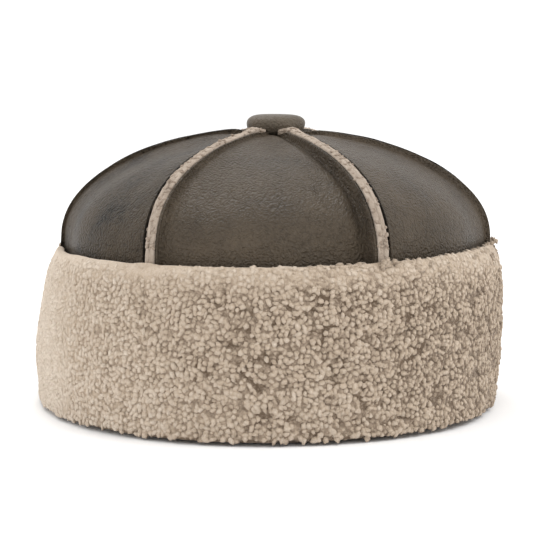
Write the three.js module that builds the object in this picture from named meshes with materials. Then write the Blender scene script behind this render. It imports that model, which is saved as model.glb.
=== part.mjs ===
// A brimless docker cap sewn from shearling, leather side out.
// Six gores make the crown. Their edges are turned outwards and sewn, so each seam stands up as a ridge:
// two leather edges with the trimmed wool of both gores between them. A covered button hides the point
// where the seams meet. A wide cuff of the same shearling is sewn to their lower edges and folds up round
// the outside, wool side out.
// Millimetres, +Z up. The cap stands on the fold of its cuff at Z = 0, and its front faces -Y.
import * as THREE from 'three';

// Material thickness
const SKIN = 1.2;                // leather of the shearling
const CROWN_WOOL = 7;            // wool inside the gores
const CUFF_WOOL = 7.6;           // wool on the cuff, at its thickest
const GAP = 0.3;                 // clearance between two pieces that touch

// Crown
const GORE_COUNT = 6;
const CROWN_RADIUS = 104.4;      // leather face in the middle of a gore
const SPRING_HEIGHT = 83;        // height at which the upright wall turns into the dome
const DOME_RISE = 50.5;          // from there up to the leather at the top
const GORE_HOLLOW = 2.2;         // how much flatter a gore lies towards its seams
const TWIST_WALL = -2.7;         // degrees by which the seams have turned at the wall
const TWIST_TOP = -4.4;          // and at the top

// Seam ridges
const STRIP_WIDTH = 6;           // wool showing between the two leather edges
const STRIP_CROWN = 0.8;         // how far that wool stands above the leather edges
const RIDGE_RISE = 3.1;          // leather edges above the face in the middle of a gore
const SEAT_RISE = 1.1;           // the same where the button presses the ridges down
const BEND = 1.1;                // width of the bend where the leather turns up

// Button
const BUTTON_RADIUS = 15.2;
const BUTTON_HEIGHT = 8.6;
const BUTTON_ASIDE = 1;          // it is sewn on a little to the right
const BUTTON_CLEAR = 1.2;        // from its rim to where the ridges regain their height

// Cuff
const CUFF_HEIGHT = 80.6;
const CUFF_EASE = 0.6;           // from the ridges to the leather of the cuff
const CUFF_LIP = 3.6;            // wool curling over the cut edge at the top of the cuff
const LIP_EASE = 1.3;            // from that wool to the crown's leather
const FOLD_WOOL = 6;             // wool pressed flat under the fold
const HEEL_OUTER = 4;            // rounding of the outer lower edge
const HEEL_INNER = 5;            // and of the inner one
const FOOT_EASE = 0.7;           // from the gores' wool to the fold, below the seam
const TILT_START = 28;           // height from which the cuff begins to tilt
const CUFF_TILT = 1.5;           // the cuff stands higher on the right by this, lower on the left
const FOOT_LEAN = 4.6;           // the foot of the cap has moved this far to the left

// The seams, from the front left round by the right side. Sway: degrees by which a seam curves aside on the
// shoulder of the crown. Lean: how far a ridge tips over, as a share of its height.
const SEAMS = [
  { name: 'front left', sway: -1.6, lean: 0.14 },
  { name: 'front right', sway: 1.6, lean: -0.05 },
  { name: 'right', sway: 0.8, lean: 0 },
  { name: 'back right', sway: -0.6, lean: 0.12 },
  { name: 'back left', sway: 0.9, lean: -0.1 },
  { name: 'left', sway: -0.5, lean: 0.2 },
];
const FIRST_SEAM = -30;          // degrees from the front, growing anticlockwise seen from above

// The valleys in each gore beside its first and its second seam, starting with the gore in front.
// Depths are shares of the ridge's rise, widths are shares of the gore.
const VALLEYS = [
  { firstDepth: 0.3, firstWidth: 0.14, secondDepth: 0.95, secondWidth: 0.26 },
  { firstDepth: 0.45, firstWidth: 0.16, secondDepth: 0.5, secondWidth: 0.2 },
  { firstDepth: 0.6, firstWidth: 0.22, secondDepth: 0.5, secondWidth: 0.18 },
  { firstDepth: 0.45, firstWidth: 0.18, secondDepth: 0.65, secondWidth: 0.22 },
  { firstDepth: 0.6, firstWidth: 0.22, secondDepth: 0.5, secondWidth: 0.18 },
  { firstDepth: 0.5, firstWidth: 0.2, secondDepth: 0.4, secondWidth: 0.16 },
];

// The wool's outline up the cuff: shares of the cuff's height and of the wool's full thickness.
const CUFF_OUTLINE = [
  { height: 0.2, thickness: 1 },
  { height: 0.38, thickness: 0.98 },
  { height: 0.56, thickness: 0.89 },
  { height: 0.74, thickness: 0.74 },
  { height: 0.88, thickness: 0.53 },
  { height: 0.96, thickness: 0.32 },
  { height: 1, thickness: 0.08 },
];

// How finely the curved faces are divided
const ACROSS_GORE = [0.1, 0.26, 0.5, 0.74, 0.9];   // shares of a gore's width
const ROUND_CUFF = [0, 0.05, 0.09, 0.29, 0.5, 0.71, 0.91, 0.95];   // the same, closer beside the seams
const BESIDE_RIDGE = 0.05;       // share of a gore within which the cuff's wool makes way for a ridge
const DOME_STEPS = 7;
const FOLD_STEPS = 4;
const BUTTON_SIDES = 24;
const HEEL_TURNS = [0, 45, 90];  // degrees round the fold's outer edge
const LIP_TURNS = [0.3, 0.6, 0.8];   // shares of the lip's height, up its inner face
const TIP_ROOM = 0.9;            // share of a gore's half width that its turned edges may fill at the tip

const { clamp, degToRad, radToDeg, lerp, smoothstep } = THREE.MathUtils;

const GORE_ANGLE = 360 / GORE_COUNT;
const HALF_GORE_SINE = Math.sin(degToRad(GORE_ANGLE / 2));
const RIDGE_HALF = STRIP_WIDTH / 2 + SKIN;
const RIDGE_TOP = CROWN_RADIUS + RIDGE_RISE + STRIP_CROWN;
const WOOL_FACE = SKIN + GAP;                    // depth of the wool's face under the leather's face
const INNER_FACE = WOOL_FACE + CROWN_WOOL;       // depth of the face inside the cap
const SEAT_RADIUS = BUTTON_RADIUS + BUTTON_ASIDE + BUTTON_CLEAR;
const TIP_RADIUS = (RIDGE_HALF + BEND) / HALF_GORE_SINE;   // the leather ends where the ridges meet
const CUFF_INNER = RIDGE_TOP + CUFF_EASE;        // face of the cuff's leather towards the crown
const WOOL_BACK = CUFF_INNER + SKIN + GAP;       // inner face of the wool on that leather
const CUFF_EDGE = CUFF_HEIGHT - CUFF_LIP - GAP;  // cut edge of the cuff's leather
const FOLD_CENTRE = (CROWN_RADIUS + CUFF_INNER) / 2;
const FOLD_RADIUS = (CUFF_INNER - CROWN_RADIUS) / 2;
const FOLD_HEIGHT = FOLD_WOOL + GAP + SKIN + FOLD_RADIUS;
const GORE_FOOT = FOLD_HEIGHT + GAP;             // lower edge of the gores' leather, sewn to the fold

const rowOf = (table, index) => table[index % table.length];

// The foot of the soft cap has moved aside.
function settle(point) {
  point.x -= FOOT_LEAN * (1 - smoothstep(point.z, 0, SPRING_HEIGHT));
  return point;
}

// A point at an angle from the front, a distance from the axis and a height.
function polar(degrees, distance, height) {
  const angle = degToRad(degrees);
  return new THREE.Vector3(distance * Math.sin(angle), -distance * Math.cos(angle), height);
}

const UPRIGHT = new THREE.Vector2(1, 0);

// A station is one place on the crown's outline, seen in a plane through the axis: its radius, height and
// outward normal, how far up the dome it lies, how high the ridges stand there and whether they tip over,
// how much of the gores' hollows and valleys it has, and the depth of the face inside the cap.
function stationAt(radius, height, normal, climb) {
  const pressed = radius < SEAT_RADIUS;
  const rise = pressed ? SEAT_RISE : RIDGE_RISE;
  const strip = pressed ? 0 : STRIP_CROWN;
  const tipping = pressed ? 0 : 1;
  return { radius, height, normal, climb, rise, strip, tipping, hollow: 1, inside: INNER_FACE };
}

// At the seam with the cuff the crown is plainly round.
const SEAM_STATION = { ...stationAt(CROWN_RADIUS, GORE_FOOT, UPRIGHT, 0), hollow: 0 };

// Below it the gores have no ridges, and only their wool goes on to the floor.
function footStation(height, inside) {
  const radius = CROWN_RADIUS - FOOT_EASE;
  return { ...SEAM_STATION, radius, height, rise: -WOOL_FACE, strip: 0, tipping: 0, inside: inside - FOOT_EASE };
}

function domeStation(radius) {
  const angle = Math.acos(Math.min(1, radius / CROWN_RADIUS));
  const height = SPRING_HEIGHT + DOME_RISE * Math.sin(angle);
  const normal = new THREE.Vector2(Math.cos(angle) / CROWN_RADIUS, Math.sin(angle) / DOME_RISE).normalize();
  return stationAt(radius, height, normal, angle / (Math.PI / 2));
}

// Stations from the lower edge of the gores' leather up to its tips.
function leatherStations() {
  const ridgeEnd = Math.acos((SEAT_RADIUS + BUTTON_CLEAR) / CROWN_RADIUS);
  const dome = [];
  for (let step = 0; step <= DOME_STEPS; step += 1) {
    dome.push(domeStation(CROWN_RADIUS * Math.cos(ridgeEnd * step / DOME_STEPS)));
  }
  return [SEAM_STATION, ...dome, domeStation(SEAT_RADIUS - GAP), domeStation(TIP_RADIUS)];
}

// The wool goes on past the leather: down to the floor, and up to the axis, where the gores meet.
function woolStations() {
  const foot = [
    footStation(0, INNER_FACE - HEEL_INNER),
    footStation(HEEL_INNER, INNER_FACE),
    footStation(GORE_FOOT - GAP / 3, INNER_FACE),
  ];
  return [...foot, ...leatherStations(), domeStation(TIP_RADIUS / 2), domeStation(GAP / HALF_GORE_SINE)];
}

// Angle of a seam at a station, in degrees from the front. Past the last seam the count comes round again.
function seamAngle(index, { climb }) {
  const aside = rowOf(SEAMS, index).sway * Math.sin(Math.PI * climb) ** 2;
  return FIRST_SEAM + index * GORE_ANGLE + lerp(TWIST_WALL, TWIST_TOP, climb) + aside;
}

// A crown point at an angle, moved outwards along the station's normal by a depth.
function crownPoint(station, degrees, depth) {
  const distance = station.radius + station.normal.x * depth;
  return settle(polar(degrees, distance, station.height + station.normal.y * depth));
}

// A crown point beside a seam, at a distance from the seam's plane that grows anticlockwise.
function seamPoint(station, seam, side, depth) {
  const tipped = side + station.tipping * rowOf(SEAMS, seam).lean * Math.max(0, depth + GORE_HOLLOW);
  const distance = station.radius + station.normal.x * depth;
  const degrees = seamAngle(seam, station) + radToDeg(Math.atan2(tipped, distance));
  return settle(polar(degrees, Math.hypot(distance, tipped), station.height + station.normal.y * depth));
}

// How deep the leather's face lies under the crown's outline, at a share of a gore's width.
function faceDepth(gore, share, station) {
  const row = rowOf(VALLEYS, gore);
  const first = row.firstDepth * Math.max(0, 1 - share / row.firstWidth) ** 2;
  const second = row.secondDepth * Math.max(0, 1 - (1 - share) / row.secondWidth) ** 2;
  const flatness = GORE_HOLLOW * (2 * share - 1) ** 2;
  return -station.hollow * (flatness + (first + second) * RIDGE_RISE) * station.radius / CROWN_RADIUS;
}

// One row across a gore. The two ends are given by a function of side, seam and share, and the depths
// between them by a function of the share.
function goreRow(gore, station, endPoints, depthAt) {
  const half = station.radius * HALF_GORE_SINE;
  const edge = Math.min(RIDGE_HALF + BEND, half * TIP_ROOM);
  const angleOff = radToDeg(Math.asin(edge / station.radius));
  const from = seamAngle(gore, station) + angleOff;
  const to = seamAngle(gore + 1, station) - angleOff;
  const between = ACROSS_GORE.map((share) => crownPoint(station, lerp(from, to, share), depthAt(share)));
  return [...endPoints(1, gore, 0), ...between, ...endPoints(-1, gore + 1, 1).reverse()];
}

// The leather of a gore at a station, with both edges turned up: its outer face and its inner face.
function leatherRow(gore, station) {
  const bend = Math.min(BEND, (station.radius * HALF_GORE_SINE - RIDGE_HALF) / 2);
  const place = (seam, side, depth) => seamPoint(station, seam, side, depth);
  const outerEnd = (side, seam, share) => {
    const valley = faceDepth(gore, share, station);
    return [
      place(seam, side * RIDGE_HALF, station.rise),
      place(seam, side * RIDGE_HALF, valley + bend),
      place(seam, side * (RIDGE_HALF + bend), valley),
    ];
  };
  const innerEnd = (side, seam, share) => {
    const valley = faceDepth(gore, share, station) - SKIN;
    return [
      place(seam, side * STRIP_WIDTH / 2, station.rise),
      place(seam, side * STRIP_WIDTH / 2, valley + bend / 2),
      place(seam, side * (STRIP_WIDTH + bend) / 2, valley),
    ];
  };
  return {
    outer: goreRow(gore, station, outerEnd, (share) => faceDepth(gore, share, station)),
    inner: goreRow(gore, station, innerEnd, (share) => faceDepth(gore, share, station) - SKIN),
  };
}

// The wool of a gore at a station: the face under the leather and the face inside the cap. At both ends
// it turns up into the ridge, where it meets the wool of the next gore.
function woolRow(gore, station) {
  const half = station.radius * HALF_GORE_SINE;
  const bend = Math.min(BEND, Math.max(0, half - RIDGE_HALF) / 2);
  const face = STRIP_WIDTH / 2 - GAP;
  const room = half * TIP_ROOM ** 2;
  const place = (seam, side, depth) => seamPoint(station, seam, clamp(side, -room, room), depth);
  const top = station.rise + station.strip;
  const outerEnd = (side, seam, share) => {
    const valley = faceDepth(gore, share, station) - WOOL_FACE;
    return [
      place(seam, side * face / 2, top),
      place(seam, side * face, station.rise),
      place(seam, side * face, valley + bend / 2),
      place(seam, side * (face + bend / 2), valley),
    ];
  };
  const innerEnd = (side, seam, share) => {
    const valley = faceDepth(gore, share, station) - WOOL_FACE;
    return [
      place(seam, side * GAP / 2, top - GAP / 2),
      place(seam, side * GAP / 2, lerp(top, valley, 0.5)),
      place(seam, side * GAP / 2, valley),
      place(seam, side * GAP / 2, -station.inside),
    ];
  };
  return {
    outer: goreRow(gore, station, outerEnd, (share) => faceDepth(gore, share, station) - WOOL_FACE),
    inner: goreRow(gore, station, innerEnd, () => -station.inside),
  };
}

// A closed solid between two faces, given as rows of points. In a round solid the last row joins the first.
function solidBetween(rows, isRound) {
  const columns = rows[0].outer.length;
  const ring = 2 * columns;
  const points = rows.flatMap((row) => [...row.outer, ...row.inner.slice().reverse()]);
  const triangles = [];
  const addQuad = (a, b, c, d) => triangles.push(a, b, c, a, c, d);
  const spans = isRound ? rows.length : rows.length - 1;
  for (let row = 0; row < spans; row += 1) {
    const here = row * ring;
    const next = ((row + 1) % rows.length) * ring;
    for (let place = 0; place < ring; place += 1) {
      const beside = (place + 1) % ring;
      const corners = [here + place, here + beside, next + beside, next + place];
      // The inner face runs the other way, and is split along the same diagonals as the outer one.
      if (place >= columns) corners.push(corners.shift());
      addQuad(...corners);
    }
  }
  if (!isRound) {
    const last = (rows.length - 1) * ring;
    for (let column = 0; column < columns - 1; column += 1) {
      const opposite = ring - 1 - column;
      addQuad(column, opposite, opposite - 1, column + 1);
      addQuad(last + column, last + column + 1, last + opposite - 1, last + opposite);
    }
  }
  const geometry = new THREE.BufferGeometry();
  const numbers = points.flatMap((point) => point.toArray());
  geometry.setAttribute('position', new THREE.Float32BufferAttribute(numbers, 3));
  geometry.setIndex(triangles);
  geometry.computeVertexNormals();
  return geometry;
}

// A row of the cuff from its inner and outer outline, given as distances from the axis and heights.
function cuffRow(degrees, outer, inner) {
  const place = ([distance, height]) => {
    const point = polar(degrees, distance, height);
    const upper = smoothstep(height, TILT_START, CUFF_HEIGHT);
    point.z += CUFF_TILT * upper * point.x / CUFF_INNER;
    return settle(point);
  };
  return { outer: outer.map(place).reverse(), inner: inner.map(place).reverse() };
}

// Round the fold of the cuff, from its inner side under it to its outer side. The arc begins where it
// comes to a distance from the axis.
function foldArc(radius, begin) {
  const first = Math.acos(clamp((begin - FOLD_CENTRE) / radius, -1, 0));
  const points = [];
  for (let step = 0; step <= FOLD_STEPS; step += 1) {
    const angle = lerp(2 * Math.PI - first, 2 * Math.PI, step / FOLD_STEPS);
    points.push([FOLD_CENTRE + radius * Math.cos(angle), FOLD_HEIGHT + radius * Math.sin(angle)]);
  }
  return points;
}

// Leather of the cuff: the fold, which carries on from the gores, and the leg outside.
function cuffLeatherRow({ degrees }) {
  const middle = (FOLD_HEIGHT + CUFF_EDGE) / 2;
  const leg = (distance) => [[distance, middle], [distance, CUFF_EDGE]];
  const outer = [...foldArc(FOLD_RADIUS + SKIN, CROWN_RADIUS - SKIN), ...leg(CUFF_INNER + SKIN)];
  const inner = [...foldArc(FOLD_RADIUS, CROWN_RADIUS), ...leg(CUFF_INNER)];
  return cuffRow(degrees, outer, inner);
}

// Wool of the cuff: it lies under the leather's fold, flat on the floor, and curls in over the top edge.
function cuffWoolRow({ degrees, besideRidge }) {
  const begin = CROWN_RADIUS - WOOL_FACE + GAP;
  const arc = foldArc(FOLD_RADIUS + SKIN + GAP, begin);
  const heelCentre = WOOL_BACK + CUFF_WOOL - HEEL_OUTER;
  const lip = besideRidge ? CUFF_INNER : CROWN_RADIUS + LIP_EASE;
  const lipUnder = CUFF_EDGE + GAP;
  const lipFace = LIP_TURNS.map((share) => [lip, lipUnder + CUFF_LIP * share]);
  const heel = HEEL_TURNS.map(degToRad).map((turn) => (
    [heelCentre + HEEL_OUTER * Math.sin(turn), HEEL_OUTER * (1 - Math.cos(turn))]
  ));
  const outer = [
    [begin, arc[0][1] / 2],
    [begin, 0],
    ...heel,
    ...CUFF_OUTLINE.map((row) => [WOOL_BACK + CUFF_WOOL * row.thickness, CUFF_HEIGHT * row.height]),
    lipFace[2],
  ];
  const inner = [
    ...arc,
    ...CUFF_OUTLINE.slice(0, 4).map((row) => [WOOL_BACK, CUFF_HEIGHT * row.height]),
    [WOOL_BACK, lipUnder],
    [lip, lipUnder],
    lipFace[0],
    lipFace[1],
  ];
  return cuffRow(degrees, outer, inner);
}

// The leather-covered button: a flat disc with rounded edges. Shares of its radius and height.
const BUTTON_OUTLINE = [[0, 0], [0.9, 0], [1, 0.2], [1, 0.56], [0.96, 0.8], [0.85, 0.93], [0.5, 0.99], [0, 1]];

function buttonGeometry() {
  const profile = BUTTON_OUTLINE.map(([x, y]) => new THREE.Vector2(BUTTON_RADIUS * x, BUTTON_HEIGHT * y));
  return new THREE.LatheGeometry(profile, BUTTON_SIDES).rotateX(Math.PI / 2);
}

const leather = { color: 0x5c534a, roughness: 0.5, metalness: 0 };
const wool = { color: 0xbfae9d, roughness: 0.95, metalness: 0 };
const cap = new THREE.Group();

function addPiece(name, geometry, finish) {
  const mesh = new THREE.Mesh(geometry, new THREE.MeshStandardMaterial(finish));
  mesh.name = name;
  cap.add(mesh);
  return mesh;
}

for (let gore = 0; gore < GORE_COUNT; gore += 1) {
  const leatherRows = leatherStations().map((station) => leatherRow(gore, station));
  const woolRows = woolStations().map((station) => woolRow(gore, station));
  addPiece(`gore_leather_${gore + 1}`, solidBetween(leatherRows, false), leather);
  addPiece(`gore_wool_${gore + 1}`, solidBetween(woolRows, false), wool);
}

const cuffTurns = [];
for (let gore = 0; gore < GORE_COUNT; gore += 1) {
  for (const share of ROUND_CUFF) {
    const besideRidge = Math.min(share, 1 - share) <= BESIDE_RIDGE + Number.EPSILON;
    cuffTurns.push({ degrees: FIRST_SEAM + TWIST_WALL + (gore + share) * GORE_ANGLE, besideRidge });
  }
}
addPiece('cuff_leather', solidBetween(cuffTurns.map(cuffLeatherRow), true), leather);
addPiece('cuff_wool', solidBetween(cuffTurns.map(cuffWoolRow), true), wool);

const button = addPiece('button', buttonGeometry(), leather);
button.position.set(BUTTON_ASIDE, 0, domeStation(TIP_RADIUS).height + SEAT_RISE + GAP);

// The origin lies on the floor, in the middle of the cap's box.
const box = new THREE.Box3().setFromObject(cap);
cap.position.set(-(box.min.x + box.max.x) / 2, -(box.min.y + box.max.y) / 2, -box.min.z);

export default cap;
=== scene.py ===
"""A brimless docker cap sewn from shearling: six leather gores whose wool shows on the seams, a covered
button, and a wide cuff turned up with its wool outside."""
import math

import bpy
import numpy as np
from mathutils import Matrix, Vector, kdtree, noise


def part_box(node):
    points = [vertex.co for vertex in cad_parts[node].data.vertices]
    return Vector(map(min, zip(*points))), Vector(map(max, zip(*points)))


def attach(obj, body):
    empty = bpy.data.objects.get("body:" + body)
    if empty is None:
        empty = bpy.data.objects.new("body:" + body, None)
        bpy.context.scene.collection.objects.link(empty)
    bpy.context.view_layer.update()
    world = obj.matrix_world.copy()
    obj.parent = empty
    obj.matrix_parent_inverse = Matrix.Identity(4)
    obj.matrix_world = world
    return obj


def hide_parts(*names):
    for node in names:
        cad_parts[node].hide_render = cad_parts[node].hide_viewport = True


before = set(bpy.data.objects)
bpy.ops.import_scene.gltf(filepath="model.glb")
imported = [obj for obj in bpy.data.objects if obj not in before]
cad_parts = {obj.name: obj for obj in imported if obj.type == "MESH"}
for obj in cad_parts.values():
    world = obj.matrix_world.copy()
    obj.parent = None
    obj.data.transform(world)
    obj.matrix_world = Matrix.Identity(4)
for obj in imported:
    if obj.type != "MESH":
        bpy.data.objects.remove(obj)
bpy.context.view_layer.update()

MM = 0.001
GORES = range(1, 7)
CAP_AXIS = Vector((0.003682, 0.0, 0.0))

# Cuff, the same sizes as the solid that it stands for
CUFF_HEIGHT = 0.0806
CUFF_TILT = 0.0015
TILT_START = 0.028
CUFF_RADIUS = 0.1089
FOOT_LEAN = 0.0046
SPRING_HEIGHT = 0.083
FIRST_SEAM = -32.7
COMBED_END = (-0.112, -0.084)

# Crown, in metres and degrees, as in the solids
CROWN_RADIUS = 0.1044
DOME_RISE = 0.0505
RIDGE_RISE = 0.0031
SEAM_TURN = 1.7
SEAM_SWAY = (-1.6, 1.6, 0.8, -0.6, 0.9, -0.5)

# How much of the upturned edge shows beside the first and the second seam of each gore. Where it is little,
# the leather swells up beside the seam.
EDGE_SHOWS = {
    1: (0.45, 1.0),
    2: (0.55, 0.5),
    3: (0.8, 0.7),
    4: (0.7, 0.8),
    5: (0.8, 0.6),
    6: (0.3, 0.5),
}

# How the cuff has settled, in metres
LEFT_CORNER_DROP = 0.0022
LEFT_CORNER_TUCK = 0.0012
RIGHT_CORNER_DROP = 0.0046
RIGHT_CORNER_SPREAD = 0.0006
HEEL_LIFT = 0.0004
HEEL_CURL = 0.0010
FRONT_HEEL_BULGE = 0.0024
RIGHT_HEEL_TUCK = 0.0018
LEFT_HEEL_TUCK = 0.0028

# Clumps, curls and fibres of the wool, in metres
CLUMP_SIZE = 0.0017
CLUMP_SIDES = 6
CLUMPS_AT_MOST = 16000
SEAM_CLUMP_SIZE = 0.00105
SEAM_CLUMP_SPACING = 0.00095
SEAM_CLUMPS_AT_MOST = 4000
SEAM_TIP_SIZE = 0.0009
CURL_LENGTH = 0.0050
CURL_THICKNESS = 0.0017
CURL_SIDES = 5
CURLS_AT_MOST = 1600
CUFF_FIBRES = 6000
CUFF_FIBRE_LENGTH = 0.0018
SEAM_FIBRES = 3000
SEAM_FIBRE_LENGTH = 0.0011
FIBRE_THICKNESS = 0.00010
WOOL_FLOOR = 0.0001


# Working with meshes

def smoothstep(value, low, high):
    share = np.clip((value - low) / (high - low), 0.0, 1.0)
    return share * share * (3.0 - 2.0 * share)


def bell(value, middle, width):
    """1 at the middle, falling off softly to both sides."""
    return np.exp(-(((value - middle) / width) ** 2))


def pick(*things):
    """Selects these objects and nothing else."""
    bpy.ops.object.select_all(action="DESELECT")
    for thing in things:
        thing.select_set(True)
    bpy.context.view_layer.objects.active = things[0]


def edit(piece, mode="FACE"):
    pick(piece)
    bpy.ops.object.mode_set(mode="EDIT")
    bpy.ops.mesh.select_mode(type=mode)


def leave_edit():
    bpy.ops.object.mode_set(mode="OBJECT")


def apply_subdivision(piece, levels):
    pick(piece)
    smoother = piece.modifiers.new("Rounding", "SUBSURF")
    smoother.levels = levels
    smoother.render_levels = levels
    bpy.ops.object.modifier_apply(modifier=smoother.name)


def points_of(piece):
    points = np.empty(len(piece.data.vertices) * 3)
    piece.data.vertices.foreach_get("co", points)
    return points.reshape(-1, 3)


def normals_of(piece):
    normals = np.empty(len(piece.data.vertices) * 3)
    piece.data.vertices.foreach_get("normal", normals)
    return normals.reshape(-1, 3)


def move_points(piece, points):
    piece.data.vertices.foreach_set("co", points.ravel())
    piece.data.update()


def keep_values(piece, name, values):
    """Stores one number for each vertex, for the materials to read."""
    layer = piece.data.attributes.get(name) or piece.data.attributes.new(name, "FLOAT", "POINT")
    layer.data.foreach_set("value", np.asarray(values, dtype=np.float32))


def copy_of_solid(name, node):
    """A new piece that begins as a copy of a solid, with its loose triangles merged back into quads."""
    piece = bpy.data.objects.new(name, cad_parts[node].data.copy())
    bpy.context.collection.objects.link(piece)
    piece.data.materials.clear()
    edit(piece, "VERT")
    bpy.ops.mesh.select_all(action="SELECT")
    bpy.ops.mesh.remove_doubles(threshold=0.00001)
    bpy.ops.mesh.tris_convert_to_quads(
        face_threshold=math.pi, shape_threshold=math.pi, topology_influence=1.6)
    leave_edit()
    return piece


def cut_tall_edges(piece, longer_than, cuts):
    """Divides the tall faces of the wall into rows."""
    edit(piece, "EDGE")
    bpy.ops.mesh.select_all(action="DESELECT")
    leave_edit()
    vertices = piece.data.vertices
    for edge in piece.data.edges:
        rise = abs(vertices[edge.vertices[0]].co.z - vertices[edge.vertices[1]].co.z)
        edge.select = rise > longer_than
    edit(piece, "EDGE")
    bpy.ops.mesh.subdivide(number_cuts=cuts)
    leave_edit()


def crease_sharp_edges(piece, degrees, value):
    edit(piece, "EDGE")
    bpy.ops.mesh.select_all(action="DESELECT")
    bpy.ops.mesh.edges_select_sharp(sharpness=math.radians(degrees))
    bpy.ops.transform.edge_crease(value=value)
    leave_edit()


def divide_faces(piece, wanted, cuts=1, smoothness=1.0):
    """Divides the faces for which wanted(centre, normal) is true."""
    edit(piece)
    bpy.ops.mesh.select_all(action="DESELECT")
    leave_edit()
    for face in piece.data.polygons:
        face.select = wanted(face.center, face.normal)
    edit(piece)
    bpy.ops.mesh.subdivide(number_cuts=cuts, smoothness=smoothness)
    leave_edit()


def outward(points):
    """Unit vectors from the middle of the cap to each point."""
    away = points - np.array([CAP_AXIS.x, 0.0, 0.045])
    away[:, 2] = np.maximum(away[:, 2] - 0.035, 0.0)
    return away / np.linalg.norm(away, axis=1, keepdims=True)


def outward_share(centre, normal):
    """1 on a face that looks straight out of the crown, -1 on one that looks straight in."""
    away = Vector((centre.x - CAP_AXIS.x, centre.y, max(centre.z - SPRING_HEIGHT, 0.0) * 2.0))
    return normal.dot(away.normalized())


def wobble(points, size, seed):
    """Smooth noise from -1 to 1, one number for each point. Size is the width of its waves in metres."""
    shift = Vector((seed * 7.3, seed * 3.1, seed * 5.7))
    return np.array([noise.noise(Vector(point) / size + shift) for point in points])


def clump_field(places, seed):
    """Rounded cells: how high each place lies on its cell, and how near it is to the crack between cells."""
    shift = Vector((seed * 5.9, seed * 2.3, seed * 4.1))
    height = np.empty(len(places))
    crack = np.empty(len(places))
    for index, place in enumerate(places):
        near, second = noise.voronoi(Vector(place) + shift)[0][:2]
        height[index] = max(0.0, 1.0 - near * near * 1.3)
        crack[index] = second - near
    return height, crack


# Finishes

def new_material(name):
    finish = bpy.data.materials.new(name)
    finish.use_nodes = True
    nodes = finish.node_tree.nodes
    shader = next(node for node in nodes if node.type == "BSDF_PRINCIPLED")
    return finish, nodes, finish.node_tree.links, shader


def add_group(name, inputs, outputs):
    """A node group with named number inputs, and outputs of the given kinds."""
    group = bpy.data.node_groups.new(name, "ShaderNodeTree")
    for label, value in inputs.items():
        socket = group.interface.new_socket(label, in_out="INPUT", socket_type="NodeSocketFloat")
        socket.default_value = value
    for label, kind in outputs.items():
        group.interface.new_socket(label, in_out="OUTPUT", socket_type=kind)
    return group, group.nodes.new("NodeGroupInput"), group.nodes.new("NodeGroupOutput")


def use_group(nodes, group, **values):
    node = nodes.new("ShaderNodeGroup")
    node.node_tree = group
    for label, value in values.items():
        node.inputs[label.replace("_", " ")].default_value = value
    return node


def feed(tree, socket, value):
    """Gives a socket a number, or links it to another node's output."""
    if isinstance(value, (int, float)):
        socket.default_value = value
    else:
        tree.links.new(value, socket)


def add_math(tree, operation, *values):
    node = tree.nodes.new("ShaderNodeMath")
    node.operation = operation
    for socket, value in zip(node.inputs, values):
        feed(tree, socket, value)
    return node.outputs[0]


def add_ramp(tree, factor, stops):
    node = tree.nodes.new("ShaderNodeValToRGB")
    ramp = node.color_ramp
    while len(ramp.elements) < len(stops):
        ramp.elements.new(0.5)
    for element, (position, colour) in zip(ramp.elements, stops):
        element.position = position
        element.color = (*colour, 1.0)
    tree.links.new(factor, node.inputs["Fac"])
    return node.outputs["Color"]


def add_noise(tree, vector, scale, detail=3.0, roughness=0.5):
    node = tree.nodes.new("ShaderNodeTexNoise")
    node.inputs["Detail"].default_value = detail
    node.inputs["Roughness"].default_value = roughness
    tree.links.new(vector, node.inputs["Vector"])
    feed(tree, node.inputs["Scale"], scale)
    return node.outputs["Fac"]


def add_cells(tree, vector, scale):
    """Soft-edged cells: the distance from the middle of each."""
    node = tree.nodes.new("ShaderNodeTexVoronoi")
    node.feature = "SMOOTH_F1"
    tree.links.new(vector, node.inputs["Vector"])
    feed(tree, node.inputs["Scale"], scale)
    return node.outputs["Distance"]


def add_warp(tree, place, scale, reach):
    """The place, pushed about by noise, so that no pattern runs straight."""
    bend = tree.nodes.new("ShaderNodeTexNoise")
    bend.inputs["Scale"].default_value = scale
    bend.inputs["Detail"].default_value = 2.0
    tree.links.new(place, bend.inputs["Vector"])
    push = tree.nodes.new("ShaderNodeVectorMath")
    push.operation = "MULTIPLY_ADD"
    push.inputs[1].default_value = (reach, reach, reach)
    tree.links.new(bend.outputs["Color"], push.inputs[0])
    tree.links.new(place, push.inputs[2])
    return push.outputs[0]


def build_grain_group():
    """Leather grain: fine pebbles between creases, broken up by softer wrinkles."""
    inputs = {"Pebbles per metre": 980.0, "Wrinkles per metre": 150.0, "Wrinkle share": 0.05}
    outputs = {"Height": "NodeSocketFloat", "Mottle": "NodeSocketFloat"}
    group, given, result = add_group("Leather grain", inputs, outputs)
    place = group.nodes.new("ShaderNodeTexCoord").outputs["Object"]
    bent = add_warp(group, place, 210.0, 0.004)
    pebbles = add_cells(group, bent, given.outputs["Pebbles per metre"])
    fine = add_noise(group, place, 2600.0, 2.0)
    wrinkles = add_noise(group, bent, given.outputs["Wrinkles per metre"], 4.0, 0.62)
    folded = add_math(group, "ABSOLUTE", add_math(group, "SUBTRACT", wrinkles, 0.5))
    folded = add_math(group, "MULTIPLY", folded, given.outputs["Wrinkle share"])
    grain = add_math(group, "MULTIPLY_ADD", pebbles, -0.8, add_math(group, "MULTIPLY", fine, 0.25))
    height = add_math(group, "MULTIPLY_ADD", folded, 4.0, grain)
    group.links.new(height, result.inputs["Height"])
    mottle = add_noise(group, place, 42.0, 5.0, 0.6)
    group.links.new(mottle, result.inputs["Mottle"])
    return group


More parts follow.
